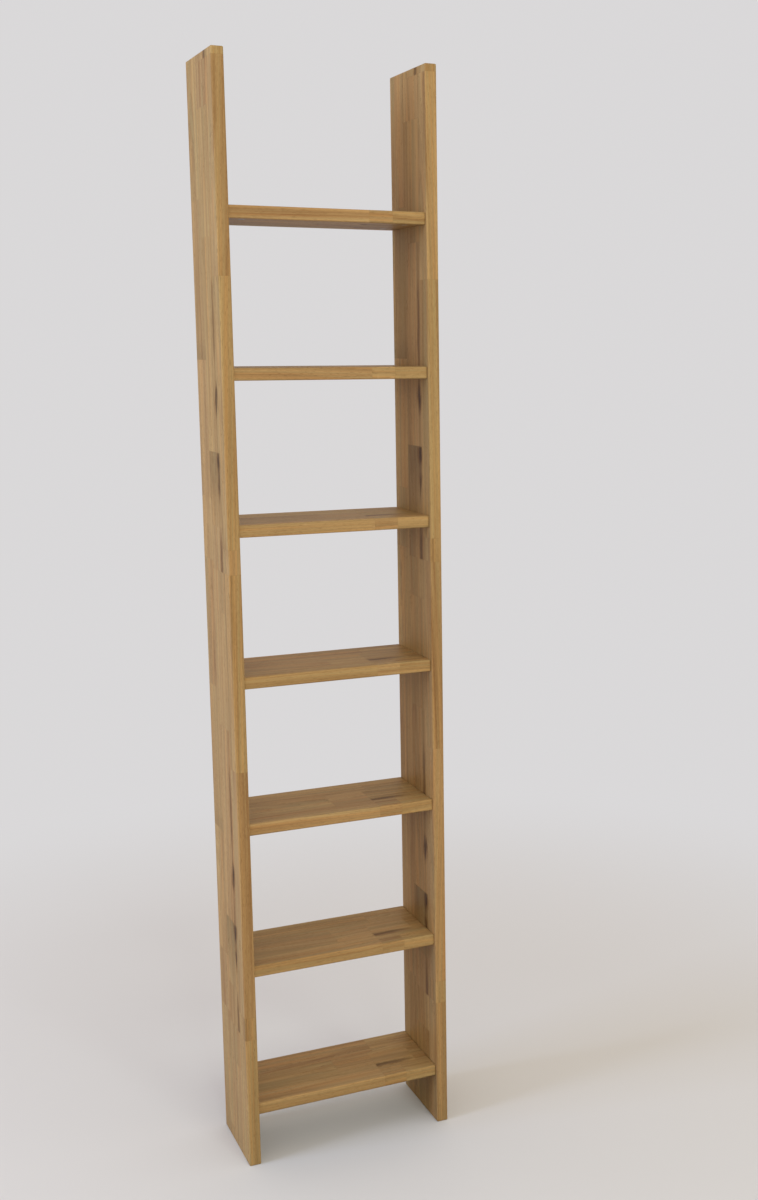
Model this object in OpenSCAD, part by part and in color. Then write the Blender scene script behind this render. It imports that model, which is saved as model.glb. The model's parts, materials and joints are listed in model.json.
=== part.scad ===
// Tall, narrow, open bookcase of solid oak. Two full-height sides carry seven fixed shelves.
// Each shelf end is located by two wooden dowels and drawn tight by two bolts and cams,
// all hidden inside the joint, so the outer faces stay bare wood.
// Frame: X runs across the width, Y from the front (-) to the back (+), Z up.
// The origin is on the floor, at the middle of the footprint.

/* [Sides] */
// Clear width between the two sides
clear_w = 406; // [300:1:900]
// Depth of a side, from its front edge to its back edge
side_d = 200; // [180:1:400]
// Thickness of a side
side_t = 25; // [20:0.5:40]
// How far the sides rise above the top shelf
top_rise = 288; // [30:1:500]

/* [Shelves] */
// Number of shelves
shelf_count = 7; // [2:1:9]
// Thickness of a shelf
shelf_t = 25; // [22:0.5:40]
// Clear height from one shelf to the next
bay_h = 284.5; // [150:0.5:450]
// Clear height under the bottom shelf
floor_gap = 110; // [20:1:300]
// How far the front of a shelf stands back from the front edges of the sides
shelf_setback = 7; // [0:0.5:25]

/* [Arrises] */
// Rounding of the long arrises along the front and back of each board
arris_r = 3; // [0.5:0.5:8]
// Rounding of the arrises round the two ends of each board
end_r = 2; // [0.5:0.5:6]

/* [Joint layout] */
// Distance of the outer fitting row from the front and back edges of the sides
row_inset = 37; // [30:1:45]
// Distance from a bolt row to the dowel row beside it
row_pitch = 32; // [24:1:36]

/* [Dowels] */
// Diameter of a dowel
dowel_d = 8; // [6:0.5:10]
// Length of a dowel
dowel_len = 35; // [25:1:50]
// Length of a dowel that sits in the side
dowel_in_side = 12; // [8:0.5:15]
// Chamfer on the ends of a dowel
dowel_chamfer = 1; // [0.3:0.1:1.5]
// Number of glue flutes round a dowel
flute_count = 10; // [6:1:14]
// Depth of a glue flute
flute_depth = 0.5; // [0.2:0.1:0.8]
// Diameter of the round cutter that makes a flute
flute_cutter_d = 1.6; // [1:0.1:2]

/* [Connecting bolts] */
// Outer diameter of the threaded end in the side
thread_d = 6; // [4:0.5:7]
// Length of the threaded end
thread_len = 11; // [8:0.5:15]
// Diameter of the plain shank in the shelf
shank_d = 7; // [6:0.5:8]
// Diameter of the neck that the cam's slot runs along
neck_d = 4; // [3:0.1:4.5]
// Diameter of the ball head that the cam grips
head_d = 6.2; // [5:0.1:6.8]
// Gap between the end of the shank and the cam
shank_gap = 0.8; // [0.3:0.1:2]
// Length of the lead-in taper on the threaded end
thread_taper = 1.5; // [0.5:0.1:3]

/* [Cams] */
// Distance of a cam's centre from the end of the shelf
cam_reach = 34; // [24:0.5:40]
// Diameter of a cam
cam_d = 15; // [14:0.5:18]
// Thinnest wall of a cam, beside its entry hole
cam_wall = 1.75; // [1.2:0.05:2]
// Offset of the gripping track from the cam's own centre, which is half of its pull
cam_throw = 0.7; // [0.3:0.05:0.8]
// Turn from the entry hole to the locked position
cam_turn = 105; // [80:1:130]
// Thickness of the metal beyond the track
cam_floor = 1.2; // [0.8:0.1:2]
// Depth of the screwdriver cross in the cam's face
cross_depth = 3; // [1.5:0.1:4]
// Length of each slot of the cross
cross_len = 6.5; // [5:0.1:9]
// Width of each slot of the cross
cross_w = 1.3; // [1:0.1:2]
// Size of the notch that points along the entry hole
pointer_size = 1.6; // [0.8:0.1:2.2]

/* [Clearances] */
// Radial play of a dowel or a threaded end in its bore
bore_play = 0.05; // [0.02:0.01:0.2]
// Free depth beyond the end of a dowel or a threaded end
end_play = 0.5; // [0.2:0.1:0.9]
// Radial play of a shank in the shelf
shank_play = 0.4; // [0.2:0.1:0.8]
// Radial play of a cam in its pocket
cam_play = 0.1; // [0.05:0.05:0.3]
// How far a cam's face lies below the underside of its shelf
cam_sink = 0.3; // [0:0.1:1]
// Play between a bolt's neck or head and the wall of the cam that it passes or rests on
grip_play = 0.1; // [0.05:0.05:0.2]
// Play above and below a bolt's head in the track
track_play = 0.25; // [0.15:0.05:0.5]

/* [Hidden] */
// Colours
oak_side = "#b0946c";
oak_shelf = "#b4905a";
beech = "#d9b98a";
zinc_plate = "#c9ccd0";
zinc_cast = "#9a9ea3";

// Numbers of segments of small and large round forms
small_fn = 32;
round_fn = 48;
// How far a cutter runs past the face that it opens
past = 1;

// Spacing of the shelves, height of the sides and depth of a shelf
pitch = bay_h + shelf_t;
overall_h = floor_gap + shelf_count * shelf_t + (shelf_count - 1) * bay_h + top_rise;
shelf_d = side_d - shelf_setback;

// Rows of fittings, the same at both ends of every shelf
bolt_rows = [row_inset - side_d / 2, side_d / 2 - row_inset];
dowel_rows = [bolt_rows[0] + row_pitch, bolt_rows[1] - row_pitch];
ends = [-1, 1];

// Cam and bolt, along the bolt's own axis from the face of the side
cam_r = cam_d / 2;
head_r = head_d / 2;
track_r = cam_r - cam_wall - cam_throw;
track_h = head_d + 2 * track_play;
neck_slot = neck_d + 2 * grip_play;
entry_dir = [-cos(cam_turn), sin(cam_turn)];
track_at = cam_throw * entry_dir;
head_swing = track_r - head_r - grip_play;
head_back = sqrt(pow(head_swing, 2) - pow(track_at[1], 2)) - track_at[0];
head_x = cam_reach - head_back;
shank_len = cam_reach - cam_r - shank_gap;
cam_top = track_h / 2 + cam_floor;
cam_face = cam_sink - shelf_t / 2;

function shelf_mid(k) = floor_gap + shelf_t / 2 + (k - 1) * pitch;

function shelf_nodes(k) = [
    str("shelf_", k),
    str("shelf_", k, "_dowels"),
    str("shelf_", k, "_bolts"),
    str("shelf_", k, "_cams")
];

// A flat rectangle of size [a, b] about the origin, with round corners
module rounded_rect(size, r) {
    square([size[0] - 2 * r, size[1]], center = true);
    square([size[0], size[1] - 2 * r], center = true);
    for (u = ends, v = ends)
        translate([u * (size[0] / 2 - r), v * (size[1] / 2 - r)])
            circle(r = r, $fn = round_fn);
}

// A board of size [x, y, z] about the origin, whose arrises are rounded
// by r[0] along X, by r[1] along Y and by r[2] along Z
module board(size, r) {
    intersection() {
        rotate([90, 0, 90])
            linear_extrude(size[0], center = true)
                rounded_rect([size[1], size[2]], r[0]);
        rotate([90, 0, 0])
            linear_extrude(size[1], center = true)
                rounded_rect([size[0], size[2]], r[1]);
        linear_extrude(size[2], center = true)
            rounded_rect([size[0], size[1]], r[2]);
    }
}

// Places a fitting at one end of a shelf. The fitting's X runs from the face
// of the side into the shelf, and its Z is 0 at the middle of the shelf's thickness.
module at_joint(k, end, row) {
    translate([end * clear_w / 2, row, shelf_mid(k)])
        rotate([0, 0, end < 0 ? 0 : 180])
            children();
}

// A round bar or cutter along X, from one distance to another
module bar(d, from, to) {
    translate([from, 0, 0])
        rotate([0, 90, 0])
            cylinder(d = d, h = to - from, $fn = small_fn);
}

// The blind holes that the side has for one end of shelf k
module side_bores(k, end) {
    for (row = bolt_rows)
        at_joint(k, end, row)
            bar(thread_d + 2 * bore_play, -thread_len - end_play, past);
    for (row = dowel_rows)
        at_joint(k, end, row)
            bar(dowel_d + 2 * bore_play, -dowel_in_side - end_play, past);
}

// A full-height side: end is -1 for the left one and 1 for the right one
module side(end) {
    color(oak_side)
        difference() {
            translate([end * (clear_w + side_t) / 2, 0, overall_h / 2])
                board([side_t, side_d, overall_h], [end_r, end_r, arris_r]);
            for (k = [1 : shelf_count])
                side_bores(k, end);
        }
}

// The round pocket for a cam, open at the underside of the shelf
module cam_pocket() {
    depth = cam_top + cam_play + shelf_t / 2;
    translate([cam_reach, 0, -shelf_t / 2 - past])
        cylinder(d = cam_d + 2 * cam_play, h = depth + past, $fn = round_fn);
}

// Shelf k, counted from the bottom
module shelf(k) {
    color(oak_shelf)
        difference() {
            translate([0, shelf_setback / 2, shelf_mid(k)])
                board([clear_w, shelf_d, shelf_t], [arris_r, end_r, end_r]);
            for (end = ends, row = bolt_rows)
                at_joint(k, end, row) {
                    bar(shank_d + 2 * shank_play, -past, cam_reach);
                    cam_pocket();
                }
            for (end = ends, row = dowel_rows)
                at_joint(k, end, row)
                    bar(dowel_d + 2 * bore_play, -past, dowel_len - dowel_in_side + end_play);
        }
}

// A dowel with chamfered ends and straight glue flutes, part in the side and part in the shelf
module dowel() {
    r = dowel_d / 2;
    flute_at = r - flute_depth + flute_cutter_d / 2;
    translate([-dowel_in_side, 0, 0])
        rotate([0, 90, 0])
            difference() {
                rotate_extrude($fn = round_fn)
                    polygon([
                        [0, 0],
                        [r - dowel_chamfer, 0],
                        [r, dowel_chamfer],
                        [r, dowel_len - dowel_chamfer],
                        [r - dowel_chamfer, dowel_len],
                        [0, dowel_len]
                    ]);
                for (i = [0 : flute_count - 1])
                    rotate([0, 0, i * 360 / flute_count])
                        translate([flute_at, 0, -past])
                            cylinder(d = flute_cutter_d, h = dowel_len + 2 * past, $fn = 16);
            }
}

// A connecting bolt: threaded end, shank that seats on the side, neck and ball head
module bolt() {
    r = thread_d / 2;
    shank_r = shank_d / 2;
    neck_r = neck_d / 2;
    rotate([0, 90, 0])
        rotate_extrude($fn = round_fn)
            polygon([
                [0, -thread_len],
                [r / 2, -thread_len],
                [r, thread_taper - thread_len],
                [r, 0],
                [shank_r, 0],
                [shank_r, shank_len],
                [neck_r, shank_len],
                [neck_r, head_x],
                [0, head_x]
            ]);
    translate([head_x, 0, 0])
        sphere(d = head_d, $fn = round_fn);
}

// The slot that the bolt's neck passes through while the cam turns,
// from its place in the locked cam, along -X, round to the entry hole
module neck_path() {
    steps = 5;
    half = neck_slot / 2;
    linear_extrude(neck_slot, center = true)
        polygon(concat(
            [[half, 0], [half, -half], [-cam_d, -half]],
            [for (i = [0 : steps])
                let (turn = cam_turn * i / steps)
                    cam_d * [-cos(turn), sin(turn)]]
        ));
}

// The cross for a screwdriver, cut into the cam's visible face
module cross_recess() {
    for (turn = [0, 90])
        rotate([0, 0, turn + cam_turn])
            translate([0, 0, (cross_depth - past) / 2])
                cube([cross_len, cross_w, cross_depth + past], center = true);
}

// The notch on the rim of the face that points along the entry hole
module pointer_notch() {
    rotate([0, 0, 180 - cam_turn])
        translate([cam_r, 0, 0])
            rotate([0, 0, 45])
                cube([pointer_size, pointer_size, pointer_size], center = true);
}

// A cam: a drum with an off-centre track that grips the bolt's ball head.
// The head enters through the round hole, and the slot lets the neck pass as the drum turns.
module cam() {
    translate([cam_reach, 0, 0])
        difference() {
            translate([0, 0, cam_face])
                cylinder(d = cam_d, h = cam_top - cam_face, $fn = round_fn);
            translate([track_at[0], track_at[1], -track_h / 2])
                cylinder(r = track_r, h = track_h, $fn = round_fn);
            rotate([0, 0, 180 - cam_turn])
                bar(head_d + 2 * grip_play, 0, cam_d);
            neck_path();
            translate([0, 0, cam_face]) {
                cross_recess();
                pointer_notch();
            }
        }
}

module shelf_dowels(k) {
    color(beech)
        for (end = ends, row = dowel_rows)
            at_joint(k, end, row)
                dowel();
}

module shelf_bolts(k) {
    color(zinc_plate)
        for (end = ends, row = bolt_rows)
            at_joint(k, end, row)
                bolt();
}

module shelf_cams(k) {
    color(zinc_cast)
        for (end = ends, row = bolt_rows)
            at_joint(k, end, row)
                cam();
}

side(-1);  // left_side
side(1);  // right_side
for (k = [1 : shelf_count]) {
    shelf(k);
    shelf_dowels(k);
    shelf_bolts(k);
    shelf_cams(k);
}
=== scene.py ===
"""Looks of the tall, open bookcase of oiled wild oak.

The boards are rebuilt round the frame's own boxes, with their rounded arrises and drilled
holes, and divided into the glued staves that the oak board is made of. Every stave carries its
own piece of log: the figure is solid, so faces, arrises and sawn ends agree with each other.
All lengths are in metres. X runs across the width, Y from the front to the back, Z up.
"""
import json
import math
import random

import bmesh
import bpy
from mathutils import Matrix, Vector

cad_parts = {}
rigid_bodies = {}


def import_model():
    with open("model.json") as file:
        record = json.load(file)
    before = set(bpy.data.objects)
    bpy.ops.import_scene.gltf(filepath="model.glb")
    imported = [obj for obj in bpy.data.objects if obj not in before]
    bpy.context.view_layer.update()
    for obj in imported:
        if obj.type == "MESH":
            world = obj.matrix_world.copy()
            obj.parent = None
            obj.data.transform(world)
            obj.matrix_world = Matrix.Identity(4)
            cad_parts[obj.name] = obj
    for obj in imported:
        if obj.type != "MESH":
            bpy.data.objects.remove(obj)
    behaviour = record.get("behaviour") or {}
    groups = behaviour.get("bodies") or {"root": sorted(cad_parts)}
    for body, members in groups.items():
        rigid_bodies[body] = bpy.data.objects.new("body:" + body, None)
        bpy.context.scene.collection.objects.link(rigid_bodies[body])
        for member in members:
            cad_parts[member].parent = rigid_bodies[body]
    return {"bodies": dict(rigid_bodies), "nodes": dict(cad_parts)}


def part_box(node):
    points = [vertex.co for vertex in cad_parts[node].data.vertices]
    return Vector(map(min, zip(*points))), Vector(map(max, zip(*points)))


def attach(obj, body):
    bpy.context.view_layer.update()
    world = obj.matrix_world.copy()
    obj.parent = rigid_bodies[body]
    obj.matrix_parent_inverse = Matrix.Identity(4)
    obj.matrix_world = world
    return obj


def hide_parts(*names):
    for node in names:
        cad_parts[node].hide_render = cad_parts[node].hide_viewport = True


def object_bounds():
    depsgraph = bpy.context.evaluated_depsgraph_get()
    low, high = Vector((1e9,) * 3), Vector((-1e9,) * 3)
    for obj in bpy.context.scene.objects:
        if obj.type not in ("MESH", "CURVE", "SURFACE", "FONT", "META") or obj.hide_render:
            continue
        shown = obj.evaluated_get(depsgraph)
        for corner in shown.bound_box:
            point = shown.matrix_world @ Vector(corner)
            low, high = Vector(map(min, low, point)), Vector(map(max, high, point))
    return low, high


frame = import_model()
cad_low, cad_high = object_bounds()
NODES = frame["nodes"]
ROOT = next(iter(frame["bodies"]))
X_AXIS, Y_AXIS, Z_AXIS = range(3)

# Boards. Their arrises are rounded more along the grain than round the sawn ends.
SIDES = ["left_side", "right_side"]
SHELVES = sorted(name for name in NODES if name.startswith("shelf_") and name.count("_") == 1)
BOXES = {name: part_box(name) for name in SIDES + SHELVES}
ARRIS = 0.003
END_ARRIS = 0.002
ARRIS_STEPS = 7

# Holes for the fittings. Their rows are counted in from both edges of the sides, and the cams lie
# in from the ends of the shelves.
ROW_INSET = 0.037
ROW_PITCH = 0.032
BOLT_ROWS = [cad_low.y + ROW_INSET, cad_high.y - ROW_INSET]
DOWEL_ROWS = [BOLT_ROWS[0] + ROW_PITCH, BOLT_ROWS[1] - ROW_PITCH]
DOWEL_BORE = 0.0081
DOWEL_IN_SIDE = 0.0125
DOWEL_IN_SHELF = 0.0235
THREAD_BORE = 0.0061
THREAD_IN_SIDE = 0.0115
SHANK_BORE = 0.0078
CAM_REACH = 0.034
CAM_BORE = 0.0152
CAM_DEPTH = 0.0172
# The cutters start this far outside the face that they go into
PAST = 0.001
BORE_SIDES = 40

# A length below the first is only rounding, and joints closer than the second are one joint
ROUNDING = 1e-6
SAME_JOINT = 1e-4
# From these cosines on, a direction counts as parallel and a face as flat
PARALLEL = 0.9
FLAT = 0.9999

# Layout of the staves. The pattern repeats along the grain, and its rows are counted from the back.
PERIOD = 0.990
ROW_EDGES = [0.078, 0.158]
# Each stave has its start and how much darker or paler than the rest it is.
ROW_STAVES = [
    [(0.030, 0.00), (0.300, -0.02), (0.430, 0.02), (0.707, -0.01)],
    [(0.200, 0.03), (0.285, -0.03), (0.375, -0.02), (0.525, 0.02), (0.945, -0.01)],
    [(0.285, -0.03), (0.335, -0.03), (0.868, 0.00)],
]
# Row and start of the two staves that stand out
GREY_STAVE = (1, 0.375)
SMUDGED_STAVE = (0, 0.707)
# How far the shelves' pattern is shifted, along the grain and across it
SHELF_SHIFT = Vector((0.989, 0.010))
# Stands for the next seam where a stave ends with the board
FAR = 1.0

# What chance adds to each stave: its shade, its hue and where it was sawn from the log, with its
# turn in radians, its distance from the pith, its lean per metre and its place along the log
SHADE_SPREAD = 0.018
HUE_SPREAD = 0.003
LOG_TURN = 0.5
PITH_DISTANCE = (0.06, 0.15)
LEAN_ACROSS = 0.010
LEAN_THROUGH = 0.030
LOG_PLACE = (2.0, 40.0)

# Heart line: the places along the pattern where it changes, its strength there and its half width
HEART_LINE = [
    (0.000, 0.00, 0.004),
    (0.284, 0.00, 0.007),
    (0.286, 0.75, 0.007),
    (0.325, 0.70, 0.007),
    (0.362, 0.45, 0.004),
    (0.378, 0.12, 0.003),
    (0.424, 0.30, 0.003),
    (0.440, 0.80, 0.004),
    (0.462, 0.95, 0.008),
    (0.474, 0.45, 0.003),
    (0.484, 0.55, 0.003),
    (0.490, 1.00, 0.007),
    (0.512, 1.00, 0.010),
    (0.524, 0.90, 0.008),
    (0.526, 0.30, 0.004),
    (0.590, 0.30, 0.004),
    (0.608, 0.90, 0.006),
    (0.628, 1.00, 0.010),
    (0.646, 0.90, 0.007),
    (0.664, 0.35, 0.004),
    (0.695, 0.40, 0.004),
    (0.740, 0.65, 0.007),
    (0.840, 0.60, 0.006),
    (0.872, 0.32, 0.005),
    (0.942, 0.26, 0.006),
    (0.946, 0.00, 0.006),
    (0.990, 0.00, 0.004),
]
HEART_ACROSS = 0.147
# The ramp keeps a half width as a share of this
FULL_HALF_WIDTH = 0.02

# Marks on the heart line. Scales are per metre, along X and Y of the log and along its grain.
DRIFT_SCALES = (15.0, 15.0, 7.0)
TORN_SCALES = (620.0, 620.0, 16.0)
LOBE_SCALES = (150.0, 150.0, 22.0)
FRAY_SCALES = (520.0, 520.0, 5.0)
DRIFT = 0.008
FRAY = 0.09
# Sawn joints don't fray. From this distance on, the line frays in full.
FRAY_START = 0.02
# In half widths: how ragged the borders are, and where the core and its halo fade out
TORN = 3.0
LOBES = 1.8
CORE_FADE = (0.70, 1.00)
HALO_FADE = (0.60, 2.30)

# Oak figure. Scales are per metre, along X and Y of the log and along its grain.
WAVER_SCALES = (11.0, 11.0, 1.7)
CLOUD_SCALES = (20.0, 20.0, 4.0)
FIBRE_SCALES = (800.0, 800.0, 12.0)
PORE_SCALES = (2100.0, 2100.0, 95.0)
# These run outwards from the pith, around it and along the grain.
GROUP_SCALES = (95.0, 9.0, 0.6)
STAIN_SCALES = (90.0, 45.0, 1.1)
HUE_SCALES = (260.0, 34.0, 1.2)
RAY_SCALES = (60.0, 1900.0, 75.0)
# Angles round the pith are measured as arcs at this radius.
ARC_RADIUS = 0.15
# Rings: their width, how far they waver, and the noise over the years that makes good and poor ones
RING_WIDTH = 0.0026
RING_WAVER = 0.016
UNEVEN_SCALE = 0.35
UNEVEN_YEARS = 3.0
# Shares of one year: porous wood gives way to dense wood, which stops at the next year
EARLY_WOOD = (0.10, 0.42)
LATE_WOOD = (0.20, 0.85)
YEAR_END = (0.94, 1.0)
# Levels of the noise that make a pore, in dense wood and in porous wood, and a ray
DENSE_PORES = 0.70
POROUS_PORES = 0.55
PORE_BORDER = 0.07
RAY_BORDER = (0.66, 0.74)
# How much darker each pattern makes the oak, counted from the pattern's middle
NOISE_MIDDLE = 0.5
LATE_MIDDLE = 0.4
GROUP_TONE = 1.25
STAIN_TONE = 1.45
CLOUD_TONE = 0.55
FIBRE_TONE = 0.45
LATE_TONE = 0.22
MIDDLE_TONE = 0.42

# Colours of the oiled oak
OAK_GOLD = (0.483, 0.318, 0.132, 1)
OAK_BROWN = (0.242, 0.123, 0.042, 1)
OAK_ORANGE = (0.477, 0.265, 0.094, 1)
OAK_OLIVE = (0.347, 0.242, 0.102, 1)
OAK_PORE = (0.105, 0.050, 0.018, 1)
OAK_RAY = (0.540, 0.350, 0.160, 1)
OAK_GREY = (0.680, 0.680, 0.660, 1)
HEART_BROWN = (0.190, 0.082, 0.020, 1)
HEART_BLACK = (0.045, 0.016, 0.003, 1)
GLUE_LINE = (0.130, 0.066, 0.024, 1)
# At this setting the hue node leaves a colour as it is
NEUTRAL_HUE = 0.5

# How far each colour covers the oak, and the hues of the figure that turn orange and olive
ORANGE_HUES = (0.50, 0.68)
ORANGE_SHARE = 0.60
OLIVE_HUES = (0.49, 0.31)
OLIVE_SHARE = 0.65
RAY_SHARE = 0.25
PORE_SHARE = 0.60
HALO_SHARE = 0.75
CORE_SHARE = 0.92
SEAM_SHARE = 0.55
SEAM_WIDTH = 0.00022
# The grey stave is grey at its end and fades towards its start. The smudge is at a stave's start.
GREY_FADE = (0.02, 0.15)
GREY_REST = 0.15
SMUDGE_LENGTH = 0.055
SMUDGE_SHARE = 0.5

# Sawn ends: how squarely they face the grain, and how much oil they drink
SAWN_FACING = (0.5, 0.9)
SAWN_SOAK = 0.26
EARLY_SOAK = 0.34
RAY_END_SHARE = 0.45

# Sheen and roughness of the oiled oak, and what pores, rays and sawn ends add to the roughness
OAK_SHEEN = 0.13
OAK_ROUGHNESS = 0.52
PORE_ROUGHNESS = 0.20
RAY_ROUGHNESS = -0.10
SAWN_ROUGHNESS = 0.15
# Height of its relief, and the shares by which late wood and fibres stand up and dark marks lie low
OAK_RELIEF = 0.00009
LATE_RELIEF = 0.25
FIBRE_RELIEF = 0.35
SEAM_DENT = 0.6
HEART_DENT = 0.8

# Raw beech of the dowels, which lie along X
BEECH_PALE = (0.700, 0.480, 0.290, 1)
BEECH_DARK = (0.520, 0.320, 0.170, 1)
BEECH_FLECK = (0.300, 0.160, 0.080, 1)
BEECH_FIBRE_SCALES = (60.0, 1400.0, 1400.0)
BEECH_FLECK_SCALES = (400.0, 2600.0, 2600.0)
BEECH_FLECK_BORDER = (0.60, 0.72)
BEECH_FLECK_SHARE = 0.5
BEECH_ROUGHNESS = 0.55
BEECH_FIBRE_ROUGHNESS = 0.2
BEECH_RELIEF = 0.00006

# Zinc of the bolts and cams
ZINC_CLOUD_SCALE = 140.0
ZINC_GRAIN_ROUGHNESS = 0.25
PLATED_BOLT = {
    "pale": (0.62, 0.63, 0.66, 1),
    "dark": (0.50, 0.51, 0.54, 1),
    "roughness": 0.22,
    "grain_scale": 2500.0,
    "relief": 0.00001,
}
CAST_CAM = {
    "pale": (0.50, 0.50, 0.51, 1),
    "dark": (0.40, 0.40, 0.42, 1),
    "roughness": 0.38,
    "grain_scale": 1600.0,
    "relief": 0.00004,
}

# Camera. It tilts down and turns to the right, in degrees. Its lens and sensor are in millimetres.
CAMERA_PLACE = (-0.9788, -3.0449, 1.7361)
CAMERA_TILT = 10.076
CAMERA_TURN = 25.805
CAMERA_LENS = 45.508
CAMERA_SENSOR = 36.0
CAMERA_SHIFT = (-0.1293, 0.0080)
CAMERA_CLIP = 200.0

# Lamps. Each has its place, the point that it faces, its width and height, its watts and its colour.
LAMPS = {
    "key": {
        "place": (0.4, -6.4, 3.4),
        "aim": (0, 0, 1.5),
        "size": (3.2, 2.4),
        "power": 172.0,
        "colour": (0.92, 1.0, 0.96),
    },
    "side": {
        "place": (-6.5, -0.3, 2.4),
        "aim": (0, 0, 1.4),
        "size": (2.4, 3.0),
        "power": 310.0,
        "colour": (0.55, 0.69, 1.0),
    },
}

# Backdrop, and the soft light from the front, the back and above. The front turns into the back
# between two shares of a direction's Y, and both into the ceiling between two shares of its Z.
BACKDROP = (0.700, 0.688, 0.694, 1)
SKY_FRONT = (0.960, 0.900, 0.820, 1)
SKY_BACK = (0.760, 0.638, 0.545, 1)
SKY_TURN = (-0.7, 0.7)
CEILING = (0.660, 0.570, 0.500, 1)
CEILING_FADE = (0.25, 0.85)

# Floor as it is seen, with half its length. It fades into the backdrop between two distances.
FLOOR = (0.700, 0.705, 0.697, 1)
FLOOR_CLOUD = (0.720, 0.725, 0.717, 1)
FLOOR_CLOUD_SCALE = 0.8
FLOOR_ROUGHNESS = 0.85
FLOOR_HALF = 60.0
FLOOR_FADE = (0.8, 2.6)
# Colours that it throws back at the bookcase: from under it, from near it and from further away
FLOOR_CONTACT = (0.040, 0.016, 0.004, 1)
FLOOR_BOUNCE = (0.260, 0.170, 0.110, 1)
FLOOR_AWAY = (0.640, 0.590, 0.540, 1)
CONTACT_REACH = 0.50

# Sockets of a Mix node that mixes colours
MIX_FACTOR, MIX_UNDER, MIX_OVER, MIX_RESULT = 0, 6, 7, 2


class Graph:
    """Puts nodes into one node tree and links them."""

    def __init__(self, tree):
        self.tree = tree

    def put(self, kind, inputs=None, **settings):
        made = self.tree.nodes.new("ShaderNode" + kind)
        for key, value in settings.items():
            setattr(made, key, value)
        for key, value in (inputs or {}).items():
            self.feed(made.inputs[key], value)
        return made

    def feed(self, socket, value):
        if isinstance(value, bpy.types.NodeSocket):
            self.tree.links.new(value, socket)
        else:
            socket.default_value = value

    def math(self, operation, a, b=0.0, c=0.0, clamp=False):
        made = self.put("Math", {0: a, 1: b, 2: c}, operation=operation, use_clamp=clamp)
        return made.outputs[0]

    def vector(self, operation, a, b=(0, 0, 0)):
        made = self.put("VectorMath", {0: a, 1: b}, operation=operation)
        return made.outputs["Value" if operation in ("LENGTH", "DOT_PRODUCT") else "Vector"]

    def split(self, vector):
        return self.put("SeparateXYZ", {0: vector}).outputs

    def join(self, x, y, z):
        return self.put("CombineXYZ", {0: x, 1: y, 2: z}).outputs[0]

    def noise(self, place, scale=1.0, detail=2.0, roughness=0.5):
        inputs = {"Vector": place, "Scale": scale, "Detail": detail, "Roughness": roughness}
        return self.put("TexNoise", inputs).outputs["Fac"]

    def stretched_noise(self, place, scales, detail=2.0, roughness=0.5):
        """Noise that has its own scale along each axis."""
        return self.noise(self.vector("MULTIPLY", place, scales), detail=detail, roughness=roughness)

    def centred(self, noise):
        return self.math("SUBTRACT", noise, NOISE_MIDDLE)

    def swing(self, noise, reach):
        """Turns a noise into a push to either side, over the reach in all."""
        return self.math("MULTIPLY_ADD", noise, reach, -reach * NOISE_MIDDLE)

    def step(self, value, low, high, to_low=0.0, to_high=1.0):
        inputs = {
            "Value": value,
            "From Min": low,
            "From Max": high,
            "To Min": to_low,
            "To Max": to_high,
        }
        made = self.put("MapRange", inputs, interpolation_type="SMOOTHSTEP")
        return made.outputs["Result"]

    def fall(self, value, low, high):
        return self.step(value, low, high, to_low=1.0, to_high=0.0)

    def mix(self, factor, under, over, blend="MIX"):
        inputs = {MIX_FACTOR: factor, MIX_UNDER: under, MIX_OVER: over}
        return self.put("Mix", inputs, data_type="RGBA", blend_type=blend).outputs[MIX_RESULT]

    def cover(self, under, over, mask, share, blend="MIX"):
        """Lays one colour over another where a mask says, and only by a share."""
        return self.mix(self.math("MULTIPLY", mask, share), under, over, blend)

    def attribute(self, name):
        return self.put("Attribute", attribute_name=name).outputs["Vector"]

    def group(self, tree, inputs):
        return self.put("Group", inputs, node_tree=tree).outputs

    def bump(self, height, distance):
        return self.put("Bump", {"Height": height, "Distance": distance}).outputs["Normal"]

    def seen(self):
        """1 where a camera, a gloss or a glass looks straight at the surface, or else 0."""
        path = self.put("LightPath").outputs
        direct = self.math("MAXIMUM", path["Is Camera Ray"], path["Is Glossy Ray"])
        return self.math("MAXIMUM", direct, path["Is Transmission Ray"])


def new_group(name, inputs):
    """Starts a shader node group. Returns its graph and its inputs."""
    tree = bpy.data.node_groups.new(name, "ShaderNodeTree")
    for label, kind in inputs.items():
        tree.interface.new_socket(label, in_out="INPUT", socket_type="NodeSocket" + kind)
    return Graph(tree), tree.nodes.new("NodeGroupInput").outputs


def finish_group(graph, results):
    """Puts the results out of a group and returns the group."""
    for label in results:
        graph.tree.interface.new_socket(label, in_out="OUTPUT", socket_type="NodeSocketFloat")
    leave = graph.tree.nodes.new("NodeGroupOutput")
    for label, value in results.items():
        graph.feed(leave.inputs[label], value)
    return graph.tree


def new_material(name):
    """A material with its Principled shader. Returns the material, its graph and the shader."""
    material = bpy.data.materials.new(name)
    material.use_nodes = True
    return material, Graph(material.node_tree), material.node_tree.nodes["Principled BSDF"]


# Wood


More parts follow.
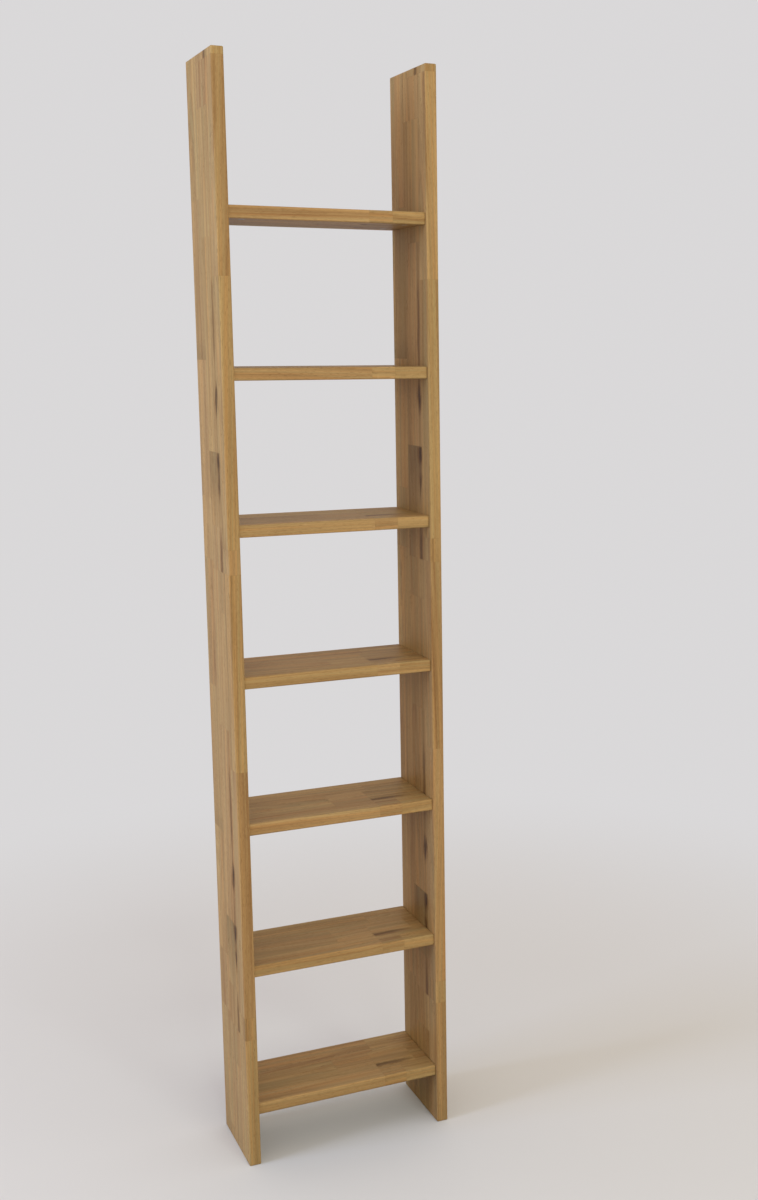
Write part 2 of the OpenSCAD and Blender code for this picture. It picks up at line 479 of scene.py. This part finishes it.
def figure_group():
    """Solid figure of oak in a log's own space: X and Y from the pith, Z along the grain."""
    graph, given = new_group("oak_figure", {"Grain": "Vector", "Ring Width": "Float"})
    place = given["Grain"]
    waver = graph.centred(graph.stretched_noise(place, WAVER_SCALES, detail=4.0))
    x, y, z = graph.split(place)
    radius = graph.vector("LENGTH", graph.join(x, y, 0.0))
    radius = graph.math("ADD", radius, graph.math("MULTIPLY", waver, RING_WAVER))
    around = graph.math("MULTIPLY", graph.math("ARCTAN2", y, x), ARC_RADIUS)
    log_place = graph.join(radius, around, z)

    # Rings: porous early wood that turns into dense late wood, with good and poor years
    years = graph.math("DIVIDE", radius, given["Ring Width"])
    uneven = graph.noise(graph.join(graph.math("MULTIPLY", years, UNEVEN_SCALE), 0.0, 0.0), detail=1.0)
    years = graph.math("ADD", years, graph.math("MULTIPLY", uneven, UNEVEN_YEARS))
    ring = graph.math("FRACT", years)
    late = graph.math("MULTIPLY", graph.step(ring, *LATE_WOOD), graph.fall(ring, *YEAR_END))
    early = graph.fall(ring, *EARLY_WOOD)

    # Stripes: groups of years that grew darker or paler, and long stains along the fibres
    groups = graph.stretched_noise(log_place, GROUP_SCALES, detail=3.0, roughness=0.6)
    stain = graph.stretched_noise(log_place, STAIN_SCALES, detail=3.0, roughness=0.6)
    cloud = graph.stretched_noise(place, CLOUD_SCALES)
    fibre = graph.stretched_noise(place, FIBRE_SCALES, detail=3.0, roughness=0.6)
    hue = graph.stretched_noise(log_place, HUE_SCALES)

    # Pores: short dark dashes, crowded in the early wood
    dash = graph.stretched_noise(place, PORE_SCALES, detail=1.0)
    level = graph.step(early, 0.0, 1.0, DENSE_PORES, POROUS_PORES)
    pores = graph.step(graph.math("SUBTRACT", dash, level), 0.0, PORE_BORDER)

    # Rays: sheets that run out from the pith, thin lines or broad flecks by the cut
    rays = graph.step(graph.stretched_noise(log_place, RAY_SCALES, detail=1.0), *RAY_BORDER)

    tone = 0.0
    patterns = ((groups, GROUP_TONE), (stain, STAIN_TONE), (cloud, CLOUD_TONE), (fibre, FIBRE_TONE))
    for pattern, darker in patterns:
        tone = graph.math("MULTIPLY_ADD", graph.centred(pattern), darker, tone)
    tone = graph.math("MULTIPLY_ADD", graph.math("SUBTRACT", late, LATE_MIDDLE), LATE_TONE, tone)
    tone = graph.math("ADD", tone, MIDDLE_TONE, clamp=True)
    relief = graph.math("MULTIPLY_ADD", late, LATE_RELIEF, graph.math("MULTIPLY", fibre, FIBRE_RELIEF))
    relief = graph.math("SUBTRACT", relief, pores)
    results = {"Tone": tone, "Hue": hue, "Early": early, "Pores": pores, "Rays": rays, "Relief": relief}
    return finish_group(graph, results)


def seam_group():
    """Thin dark line where two staves are glued, from the distances to the stave's borders."""
    graph, given = new_group("stave_seams", {"Low": "Vector", "High": "Vector", "Width": "Float"})
    low = graph.split(given["Low"])
    high = graph.split(given["High"])
    nearest_low = graph.math("MINIMUM", low[0], low[1])
    nearest_high = graph.math("MINIMUM", high[0], high[1])
    nearest = graph.math("MINIMUM", nearest_low, nearest_high)
    return finish_group(graph, {"Line": graph.fall(nearest, 0.0, given["Width"])})


def heart_group():
    """Dark heart line with ragged borders. Its strength and half width vary along the grain."""
    graph, given = new_group("heart_line", {
        "Across": "Float",
        "Grain": "Vector",
        "Strength": "Float",
        "Half Width": "Float",
    })
    place = given["Grain"]
    drift = graph.swing(graph.stretched_noise(place, DRIFT_SCALES), DRIFT)
    across = graph.math("ADD", given["Across"], drift)
    share = graph.math("DIVIDE", graph.math("ABSOLUTE", across), given["Half Width"])
    torn = graph.stretched_noise(place, TORN_SCALES, detail=3.0, roughness=0.6)
    share = graph.math("ADD", share, graph.swing(torn, TORN))
    lobes = graph.stretched_noise(place, LOBE_SCALES)
    share = graph.math("ADD", share, graph.swing(lobes, LOBES))
    return finish_group(graph, {
        "Core": graph.math("MULTIPLY", graph.fall(share, *CORE_FADE), given["Strength"]),
        "Halo": graph.math("MULTIPLY", graph.fall(share, *HALO_FADE), given["Strength"]),
    })


def heart_ramp(graph, along):
    """Reads the heart line's strength and half width, which a colour ramp keeps as red and green."""
    share = graph.math("DIVIDE", graph.math("MODULO", along, PERIOD), PERIOD)
    made = graph.put("ValToRGB", {0: share})
    stops = made.color_ramp.elements
    while len(stops) > 1:
        stops.remove(stops[-1])
    for index, (place, strength, half_width) in enumerate(HEART_LINE):
        stop = stops[0] if index == 0 else stops.new(place / PERIOD)
        stop.position = place / PERIOD
        stop.color = (strength, half_width / FULL_HALF_WIDTH, 0, 1)
    red, green, _ = graph.put("SeparateColor", {0: made.outputs["Color"]}).outputs
    return red, graph.math("MULTIPLY", green, FULL_HALF_WIDTH)


class StaveMarks:
    """The stave at a place on a board: what its attributes say, and the marks that follow from it."""

    def __init__(self, graph):
        self.grain = graph.attribute("grain")
        self.along, self.across, self.hue_shift = graph.split(graph.attribute("layout"))
        self.shade, self.grey, self.smudge = graph.split(graph.attribute("tone"))
        low = graph.attribute("seam_low")
        high = graph.attribute("seam_high")
        self.from_start = graph.split(low)[0]
        self.from_end = graph.split(high)[0]
        self.figure = graph.group(FIGURE, {"Grain": self.grain, "Ring Width": RING_WIDTH})
        self.seam = graph.group(SEAMS, {"Low": low, "High": high, "Width": SEAM_WIDTH})["Line"]
        self.heart = self.heart_line(graph)

    def heart_line(self, graph):
        """The heart line frays along the fibres, except where a stave was sawn off."""
        frayed = graph.centred(graph.stretched_noise(self.grain, FRAY_SCALES))
        nearest = graph.math("MINIMUM", self.from_start, self.from_end)
        shift = graph.math("MULTIPLY", frayed, graph.step(nearest, 0.0, FRAY_START, to_high=FRAY))
        strength, half_width = heart_ramp(graph, graph.math("ADD", self.along, shift))
        return graph.group(HEART, {
            "Across": graph.math("SUBTRACT", self.across, HEART_ACROSS),
            "Grain": self.grain,
            "Strength": strength,
            "Half Width": half_width,
        })


def long_face_colour(graph, marks):
    """Colour of the faces that run along the grain."""
    figure = marks.figure
    colour = graph.mix(figure["Tone"], OAK_GOLD, OAK_BROWN)
    orange = graph.step(figure["Hue"], *ORANGE_HUES, to_high=ORANGE_SHARE)
    colour = graph.mix(orange, colour, OAK_ORANGE)
    olive = graph.step(figure["Hue"], *OLIVE_HUES, to_high=OLIVE_SHARE)
    colour = graph.mix(olive, colour, OAK_OLIVE)
    colour = graph.cover(colour, OAK_RAY, figure["Rays"], RAY_SHARE)
    colour = graph.cover(colour, OAK_PORE, figure["Pores"], PORE_SHARE)
    grey_end = graph.step(marks.from_end, *GREY_FADE, to_low=1.0, to_high=GREY_REST)
    colour = graph.cover(colour, OAK_GREY, grey_end, marks.grey, blend="MULTIPLY")
    smudge = graph.math("MULTIPLY", graph.fall(marks.from_start, 0.0, SMUDGE_LENGTH), marks.smudge)
    colour = graph.cover(colour, OAK_GREY, smudge, SMUDGE_SHARE, blend="MULTIPLY")
    colour = graph.cover(colour, HEART_BROWN, marks.heart["Halo"], HALO_SHARE)
    core = graph.math("MULTIPLY", marks.heart["Core"], marks.heart["Core"])
    colour = graph.cover(colour, HEART_BLACK, core, CORE_SHARE)
    colour = graph.cover(colour, GLUE_LINE, marks.seam, SEAM_SHARE)
    value = graph.math("ADD", 1.0, marks.shade)
    hue = graph.math("ADD", NEUTRAL_HUE, marks.hue_shift)
    return graph.put("HueSaturation", {"Hue": hue, "Value": value, "Color": colour}).outputs[0]


def oak_material(name, grain_axis):
    """Oiled wild oak on the glued boards. The staves' attributes say where each one was cut."""
    material, graph, shader = new_material(name)
    marks = StaveMarks(graph)
    figure = marks.figure
    colour = long_face_colour(graph, marks)

    # Sawn ends drink more oil than the long faces, most of all in the porous bands of the rings
    facing = graph.put("NewGeometry").outputs["Normal"]
    facing = graph.vector("DOT_PRODUCT", facing, unit_vector(grain_axis))
    sawn = graph.step(graph.math("ABSOLUTE", facing), *SAWN_FACING)
    soaked = graph.math("MULTIPLY_ADD", figure["Early"], EARLY_SOAK, SAWN_SOAK)
    colour = graph.cover(colour, OAK_PORE, sawn, soaked)
    ray_ends = graph.math("MULTIPLY", sawn, figure["Rays"])
    colour = graph.cover(colour, OAK_RAY, ray_ends, RAY_END_SHARE)

    graph.feed(shader.inputs["Base Color"], colour)
    shader.inputs["Specular IOR Level"].default_value = OAK_SHEEN
    rough = graph.math("MULTIPLY_ADD", figure["Pores"], PORE_ROUGHNESS, OAK_ROUGHNESS)
    rough = graph.math("MULTIPLY_ADD", figure["Rays"], RAY_ROUGHNESS, rough)
    rough = graph.math("MULTIPLY_ADD", sawn, SAWN_ROUGHNESS, rough)
    graph.feed(shader.inputs["Roughness"], rough)
    relief = graph.math("SUBTRACT", figure["Relief"], graph.math("MULTIPLY", marks.seam, SEAM_DENT))
    relief = graph.math("SUBTRACT", relief, graph.math("MULTIPLY", marks.heart["Core"], HEART_DENT))
    graph.feed(shader.inputs["Normal"], graph.bump(relief, OAK_RELIEF))
    return material


def beech_material():
    """Raw turned beech: pale, with short fine flecks along the dowel."""
    material, graph, shader = new_material("raw_beech")
    place = graph.put("TexCoord").outputs["Object"]
    fibre = graph.stretched_noise(place, BEECH_FIBRE_SCALES, detail=3.0)
    fleck = graph.step(graph.stretched_noise(place, BEECH_FLECK_SCALES), *BEECH_FLECK_BORDER)
    colour = graph.mix(fibre, BEECH_PALE, BEECH_DARK)
    colour = graph.cover(colour, BEECH_FLECK, fleck, BEECH_FLECK_SHARE)
    rough = graph.math("MULTIPLY_ADD", fibre, BEECH_FIBRE_ROUGHNESS, BEECH_ROUGHNESS)
    graph.feed(shader.inputs["Base Color"], colour)
    graph.feed(shader.inputs["Roughness"], rough)
    graph.feed(shader.inputs["Normal"], graph.bump(fibre, BEECH_RELIEF))
    return material


# Metal


def zinc_material(name, pale, dark, roughness, grain_scale, relief):
    """Zinc surface with a cloudy grain: cast on the cams, plated on the bolts."""
    material, graph, shader = new_material(name)
    shader.inputs["Metallic"].default_value = 1.0
    place = graph.put("TexCoord").outputs["Object"]
    cloud = graph.noise(place, ZINC_CLOUD_SCALE, detail=3.0)
    grain = graph.noise(place, grain_scale)
    rough = graph.math("MULTIPLY_ADD", grain, ZINC_GRAIN_ROUGHNESS, roughness)
    graph.feed(shader.inputs["Base Color"], graph.mix(cloud, pale, dark))
    graph.feed(shader.inputs["Roughness"], rough)
    graph.feed(shader.inputs["Normal"], graph.bump(grain, relief))
    return material


# Boards


def grain_axis_of(name):
    return Z_AXIS if name in SIDES else X_AXIS


def thickness_axis_of(name):
    return X_AXIS if name in SIDES else Z_AXIS


def unit_vector(axis):
    return Vector([part == axis for part in range(3)])


def round_bar(bm, start, direction, diameter, length):
    """A capped cylinder that runs from its start in a direction."""
    start = Vector(start)
    direction = Vector(direction)
    turn = unit_vector(Z_AXIS).rotation_difference(direction).to_matrix().to_4x4()
    place = Matrix.Translation(start + direction * length / 2) @ turn
    bmesh.ops.create_cone(bm, cap_ends=True, segments=BORE_SIDES, radius1=diameter / 2,
                          radius2=diameter / 2, depth=length, matrix=place)


def shelf_middle(name):
    low, high = BOXES[name]
    return (low.z + high.z) / 2


def side_holes(name):
    """Cutters for the blind holes in the inner face of a side."""
    low, high = BOXES[name]
    bm = bmesh.new()
    outward = -1 if name == "left_side" else 1
    inner = high.x if outward < 0 else low.x
    start = inner - outward * PAST
    for shelf in SHELVES:
        z = shelf_middle(shelf)
        for y in BOLT_ROWS:
            round_bar(bm, (start, y, z), (outward, 0, 0), THREAD_BORE, THREAD_IN_SIDE + PAST)
        for y in DOWEL_ROWS:
            round_bar(bm, (start, y, z), (outward, 0, 0), DOWEL_BORE, DOWEL_IN_SIDE + PAST)
    return bm


def shelf_holes(name):
    """Cutters for the holes in the ends of a shelf and for the pockets of its cams."""
    low, high = BOXES[name]
    bm = bmesh.new()
    z = shelf_middle(name)
    for end, inward in ((low.x, 1), (high.x, -1)):
        start = end - inward * PAST
        for y in BOLT_ROWS:
            round_bar(bm, (start, y, z), (inward, 0, 0), SHANK_BORE, CAM_REACH + PAST)
            pocket = (end + inward * CAM_REACH, y, low.z - PAST)
            round_bar(bm, pocket, (0, 0, 1), CAM_BORE, CAM_DEPTH + PAST)
        for y in DOWEL_ROWS:
            round_bar(bm, (start, y, z), (inward, 0, 0), DOWEL_BORE, DOWEL_IN_SHELF + PAST)
    return bm


def bevel(bm, edges, width):
    bmesh.ops.bevel(bm, geom=edges, offset=width, offset_type="OFFSET", affect="EDGES",
                    segments=ARRIS_STEPS, profile=0.5, material=-1, clamp_overlap=True)


def rounded_board(name):
    """A board in its frame box, with rounded long arrises and rounded ends."""
    low, high = BOXES[name]
    bm = bmesh.new()
    bmesh.ops.create_cube(bm, size=1.0)
    bmesh.ops.scale(bm, verts=bm.verts, vec=high - low)
    bmesh.ops.translate(bm, verts=bm.verts, vec=(low + high) / 2)
    along = unit_vector(grain_axis_of(name))

    def runs_along(edge):
        run = (edge.verts[1].co - edge.verts[0].co).normalized()
        return abs(run.dot(along)) > PARALLEL

    bevel(bm, [edge for edge in bm.edges if runs_along(edge)], ARRIS)
    ends = [face for face in bm.faces if abs(face.normal.dot(along)) > PARALLEL]
    bevel(bm, list(dict.fromkeys(edge for face in ends for edge in face.edges)), END_ARRIS)
    return bm


def mesh_of(bm, name):
    mesh = bpy.data.meshes.new(name)
    bm.to_mesh(mesh)
    bm.free()
    return mesh


def piece_of(bm, name):
    made = bpy.data.objects.new(name, mesh_of(bm, name))
    bpy.context.scene.collection.objects.link(made)
    return made


def drill(board, cutters):
    """Takes the cutters out of a board and returns the drilled bmesh."""
    tool = piece_of(cutters, "cutters")
    cut = board.modifiers.new("holes", "BOOLEAN")
    cut.object = tool
    cut.operation = "DIFFERENCE"
    cut.solver = "EXACT"
    cut.use_self = True
    drilled = board.evaluated_get(bpy.context.evaluated_depsgraph_get()).to_mesh()
    bm = bmesh.new()
    bm.from_mesh(drilled)
    board.modifiers.remove(cut)
    bpy.data.objects.remove(tool)
    return bm


# Staves


def layout_of(name, point):
    """Place of a point in the stave pattern: along the grain, and across from the back."""
    low, high = BOXES[name]
    if name in SIDES:
        return Vector((point.z - low.z, high.y - point.y))
    return Vector((point.x - low.x, high.y - point.y)) + SHELF_SHIFT


def stave_at(place):
    """Row, start and end of the stave at a place in the pattern."""
    row = sum(place.y > edge for edge in ROW_EDGES)
    turns = math.floor(place.x / PERIOD)
    joints = sorted(joint + (turns + k) * PERIOD for k in (-1, 0, 1) for joint, _ in ROW_STAVES[row])
    start = max(joint for joint in joints if joint <= place.x)
    end = min(joint for joint in joints if joint > place.x)
    return row, start, end


def cut_through(bm, centre, normal):
    """Cuts every face that a plane crosses, so that the faces on both sides keep shared corners."""
    everything = bm.verts[:] + bm.edges[:] + bm.faces[:]
    bmesh.ops.bisect_plane(bm, geom=everything, dist=ROUNDING, plane_co=centre, plane_no=normal)


def cut_staves(bm, name):
    """Cuts a board's faces along the seams between its rows and at the joints of its staves."""
    low, high = BOXES[name]
    axis = grain_axis_of(name)
    along = unit_vector(axis)
    first = layout_of(name, low).x
    last, back = layout_of(name, high)
    for edge in ROW_EDGES:
        cut_through(bm, (0, high.y - (edge - back), 0), unit_vector(Y_AXIS))
    joints = {joint + turn * PERIOD
              for staves in ROW_STAVES for joint, _ in staves
              for turn in range(math.floor(first / PERIOD), math.ceil(last / PERIOD) + 1)}
    for joint in sorted(joints):
        if first < joint < last:
            cut_through(bm, along * (low[axis] + joint - first), along)


class Stave:
    """Where one stave was cut from its log, and how dark it is."""

    def __init__(self, name, row, start, end, width_centre, thickness_centre):
        local = start - math.floor(start / PERIOD + ROUNDING) * PERIOD
        draw = random.Random(f"{name} {row} {start:.4f}")
        self.centre = Vector((width_centre, thickness_centre))
        self.middle = (start + end) / 2
        turn = draw.uniform(-LOG_TURN, LOG_TURN)
        side = draw.choice((-1, 1))
        self.pith = Vector((math.sin(turn), side * math.cos(turn))) * draw.uniform(*PITH_DISTANCE)
        lean_across = draw.uniform(-LEAN_ACROSS, LEAN_ACROSS)
        lean_through = draw.uniform(-LEAN_THROUGH, LEAN_THROUGH)
        self.lean = Vector((lean_across, lean_through))
        self.offset = draw.uniform(*LOG_PLACE)

        def starts_at(joint):
            return abs(local - joint) < SAME_JOINT

        shade = next(tone for joint, tone in ROW_STAVES[row] if starts_at(joint))
        self.shade = shade + draw.uniform(-SHADE_SPREAD, SHADE_SPREAD)
        self.hue_shift = draw.uniform(-HUE_SPREAD, HUE_SPREAD)
        self.is_grey = row == GREY_STAVE[0] and starts_at(GREY_STAVE[1])
        self.is_smudged = row == SMUDGED_STAVE[0] and starts_at(SMUDGED_STAVE[1])

    def log_place(self, along, across, thickness):
        flat = Vector((across, thickness)) - self.centre + self.pith
        flat += self.lean * (along - self.middle)
        return Vector((flat.x, flat.y, along + self.offset))

    def tone(self):
        return Vector((self.shade, float(self.is_grey), float(self.is_smudged)))


def mark_staves(bm, name):
    """Gives every corner its place in the log, in the pattern and in its own stave."""
    low, high = BOXES[name]
    thickness_axis = thickness_axis_of(name)
    middle = (low + high) / 2
    layers = {key: bm.loops.layers.float_vector.new(key)
              for key in ("grain", "layout", "tone", "seam_low", "seam_high")}
    first, front = layout_of(name, low)
    last, back = layout_of(name, high)
    edges = [back, *ROW_EDGES, front]
    staves = {}
    for face in bm.faces:
        row, start, end = stave_at(layout_of(name, face.calc_center_median()))
        if (row, start) not in staves:
            centre = (edges[row] + edges[row + 1]) / 2
            staves[row, start] = Stave(name, row, start, end, centre, middle[thickness_axis])
        stave = staves[row, start]
        below = start if start > first else -FAR
        above = end if end < last else FAR + last
        inner = edges[row] if row > 0 else -FAR
        outer = edges[row + 1] if row < len(ROW_EDGES) else FAR
        for loop in face.loops:
            point = loop.vert.co
            along, across = layout_of(name, point)
            loop[layers["grain"]] = stave.log_place(along, across, point[thickness_axis])
            loop[layers["layout"]] = Vector((along, across, stave.hue_shift))
            loop[layers["tone"]] = stave.tone()
            loop[layers["seam_low"]] = Vector((along - below, across - inner, 0))
            loop[layers["seam_high"]] = Vector((above - along, outer - across, 0))


def smooth_arrises(bm):
    """Shades the roundings smooth and keeps the flats flat."""
    def is_flat(face):
        return max(abs(part) for part in face.normal) > FLAT

    for face in bm.faces:
        face.smooth = not is_flat(face)
    for edge in bm.edges:
        kinds = {is_flat(face) for face in edge.link_faces}
        edge.smooth = kinds == {False}


def finish_board(name, material):
    """Makes a board of staves and puts it in the place of its frame node."""
    board = piece_of(rounded_board(name), name + "_oak")
    bm = drill(board, side_holes(name) if name in SIDES else shelf_holes(name))
    bmesh.ops.remove_doubles(bm, verts=bm.verts, dist=ROUNDING)
    cut_staves(bm, name)
    bmesh.ops.triangulate(bm, faces=bm.faces, quad_method="BEAUTY", ngon_method="BEAUTY")
    bm.normal_update()
    smooth_arrises(bm)
    mark_staves(bm, name)
    undrilled = board.data
    board.data = mesh_of(bm, name + "_oak")
    bpy.data.meshes.remove(undrilled)
    board.data.materials.append(material)
    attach(board, ROOT)
    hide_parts(name)


def dress_nodes(ending, material):
    """Gives the frame nodes whose names have an ending their material."""
    for name, node in NODES.items():
        if name.endswith(ending):
            node.data.materials.clear()
            node.data.materials.append(material)


# Stage


def add_camera():
    """The photograph's viewpoint: a little left of the bookcase, at eye height."""
    data = bpy.data.cameras.new("camera")
    data.lens = CAMERA_LENS
    data.sensor_width = CAMERA_SENSOR
    data.shift_x, data.shift_y = CAMERA_SHIFT
    data.clip_end = CAMERA_CLIP
    made = bpy.data.objects.new("camera", data)
    made.location = CAMERA_PLACE
    made.rotation_euler = (math.radians(90 - CAMERA_TILT), 0, math.radians(-CAMERA_TURN))
    bpy.context.scene.collection.objects.link(made)
    bpy.context.scene.camera = made


def add_lamp(name, place, aim, size, power, colour):
    """A soft lamp that isn't mirrored, so that it leaves no pale glare on boards seen edge on."""
    data = bpy.data.lights.new(name, "AREA")
    data.shape = "RECTANGLE"
    data.size, data.size_y = size
    data.energy = power
    data.color = colour
    made = bpy.data.objects.new(name, data)
    made.location = place
    made.rotation_euler = (Vector(aim) - Vector(place)).to_track_quat("-Z", "Y").to_euler()
    made.visible_camera = False
    made.visible_glossy = False
    bpy.context.scene.collection.objects.link(made)


def floor_material():
    """Pale floor that keeps the shadow near the bookcase and runs into the backdrop further out."""
    material, graph, shader = new_material("pale_floor")
    shader.inputs["Roughness"].default_value = FLOOR_ROUGHNESS
    place = graph.put("TexCoord").outputs["Object"]
    seen = graph.seen()
    far = graph.step(graph.vector("LENGTH", place), *FLOOR_FADE)
    pale = graph.mix(graph.noise(place, FLOOR_CLOUD_SCALE), FLOOR, FLOOR_CLOUD)

    # The light that the floor throws back is darkest under the bookcase's own outline
    outline = ((cad_high.x - cad_low.x) / 2, (cad_high.y - cad_low.y) / 2, 0)
    outside = graph.vector("SUBTRACT", graph.vector("ABSOLUTE", place), outline)
    outside = graph.vector("LENGTH", graph.vector("MAXIMUM", outside))
    near = graph.mix(graph.step(outside, 0.0, CONTACT_REACH), FLOOR_CONTACT, FLOOR_BOUNCE)
    bounce = graph.mix(far, near, FLOOR_AWAY)
    graph.feed(shader.inputs["Base Color"], graph.mix(seen, bounce, pale))
    plain = graph.put("Emission", {"Color": BACKDROP}).outputs[0]
    share = graph.math("MULTIPLY", seen, far)
    whole = graph.put("MixShader", {0: share, 1: shader.outputs[0], 2: plain}).outputs[0]

    # Seen from below, the floor is clear, so that the undersides of the shelves show
    backfacing = graph.put("NewGeometry").outputs["Backfacing"]
    beneath = graph.math("MULTIPLY", backfacing, graph.put("LightPath").outputs["Is Camera Ray"])
    clear = graph.put("BsdfTransparent").outputs[0]
    whole = graph.put("MixShader", {0: beneath, 1: whole, 2: clear}).outputs[0]
    graph.feed(material.node_tree.nodes["Material Output"].inputs["Surface"], whole)
    return material


def add_floor():
    bm = bmesh.new()
    bmesh.ops.create_grid(bm, x_segments=1, y_segments=1, size=FLOOR_HALF)
    floor = piece_of(bm, "floor")
    floor.data.materials.append(floor_material())


def add_world():
    """Soft even light, and a pale backdrop where the camera or a gloss looks past the bookcase."""
    world = bpy.data.worlds.new("studio")
    bpy.context.scene.world = world
    world.use_nodes = True
    graph = Graph(world.node_tree)
    _, backward, upward = graph.split(graph.put("TexCoord").outputs["Generated"])
    sky = graph.mix(graph.step(backward, *SKY_TURN), SKY_FRONT, SKY_BACK)
    sky = graph.mix(graph.step(upward, *CEILING_FADE), sky, CEILING)
    background = world.node_tree.nodes["Background"]
    graph.feed(background.inputs["Color"], graph.mix(graph.seen(), sky, BACKDROP))
    background.inputs["Strength"].default_value = 1.0


add_camera()
add_floor()
add_world()
for lamp_name, lamp in LAMPS.items():
    add_lamp(lamp_name, **lamp)

FIGURE = figure_group()
SEAMS = seam_group()
HEART = heart_group()
side_oak = oak_material("oak_sides", Z_AXIS)
shelf_oak = oak_material("oak_shelves", X_AXIS)
for side_name in SIDES:
    finish_board(side_name, side_oak)
for shelf_name in SHELVES:
    finish_board(shelf_name, shelf_oak)
dress_nodes("_dowels", beech_material())
dress_nodes("_bolts", zinc_material("bolt_zinc", **PLATED_BOLT))
dress_nodes("_cams", zinc_material("cam_zinc", **CAST_CAM))

bpy.context.scene.view_settings.view_transform = "Standard"
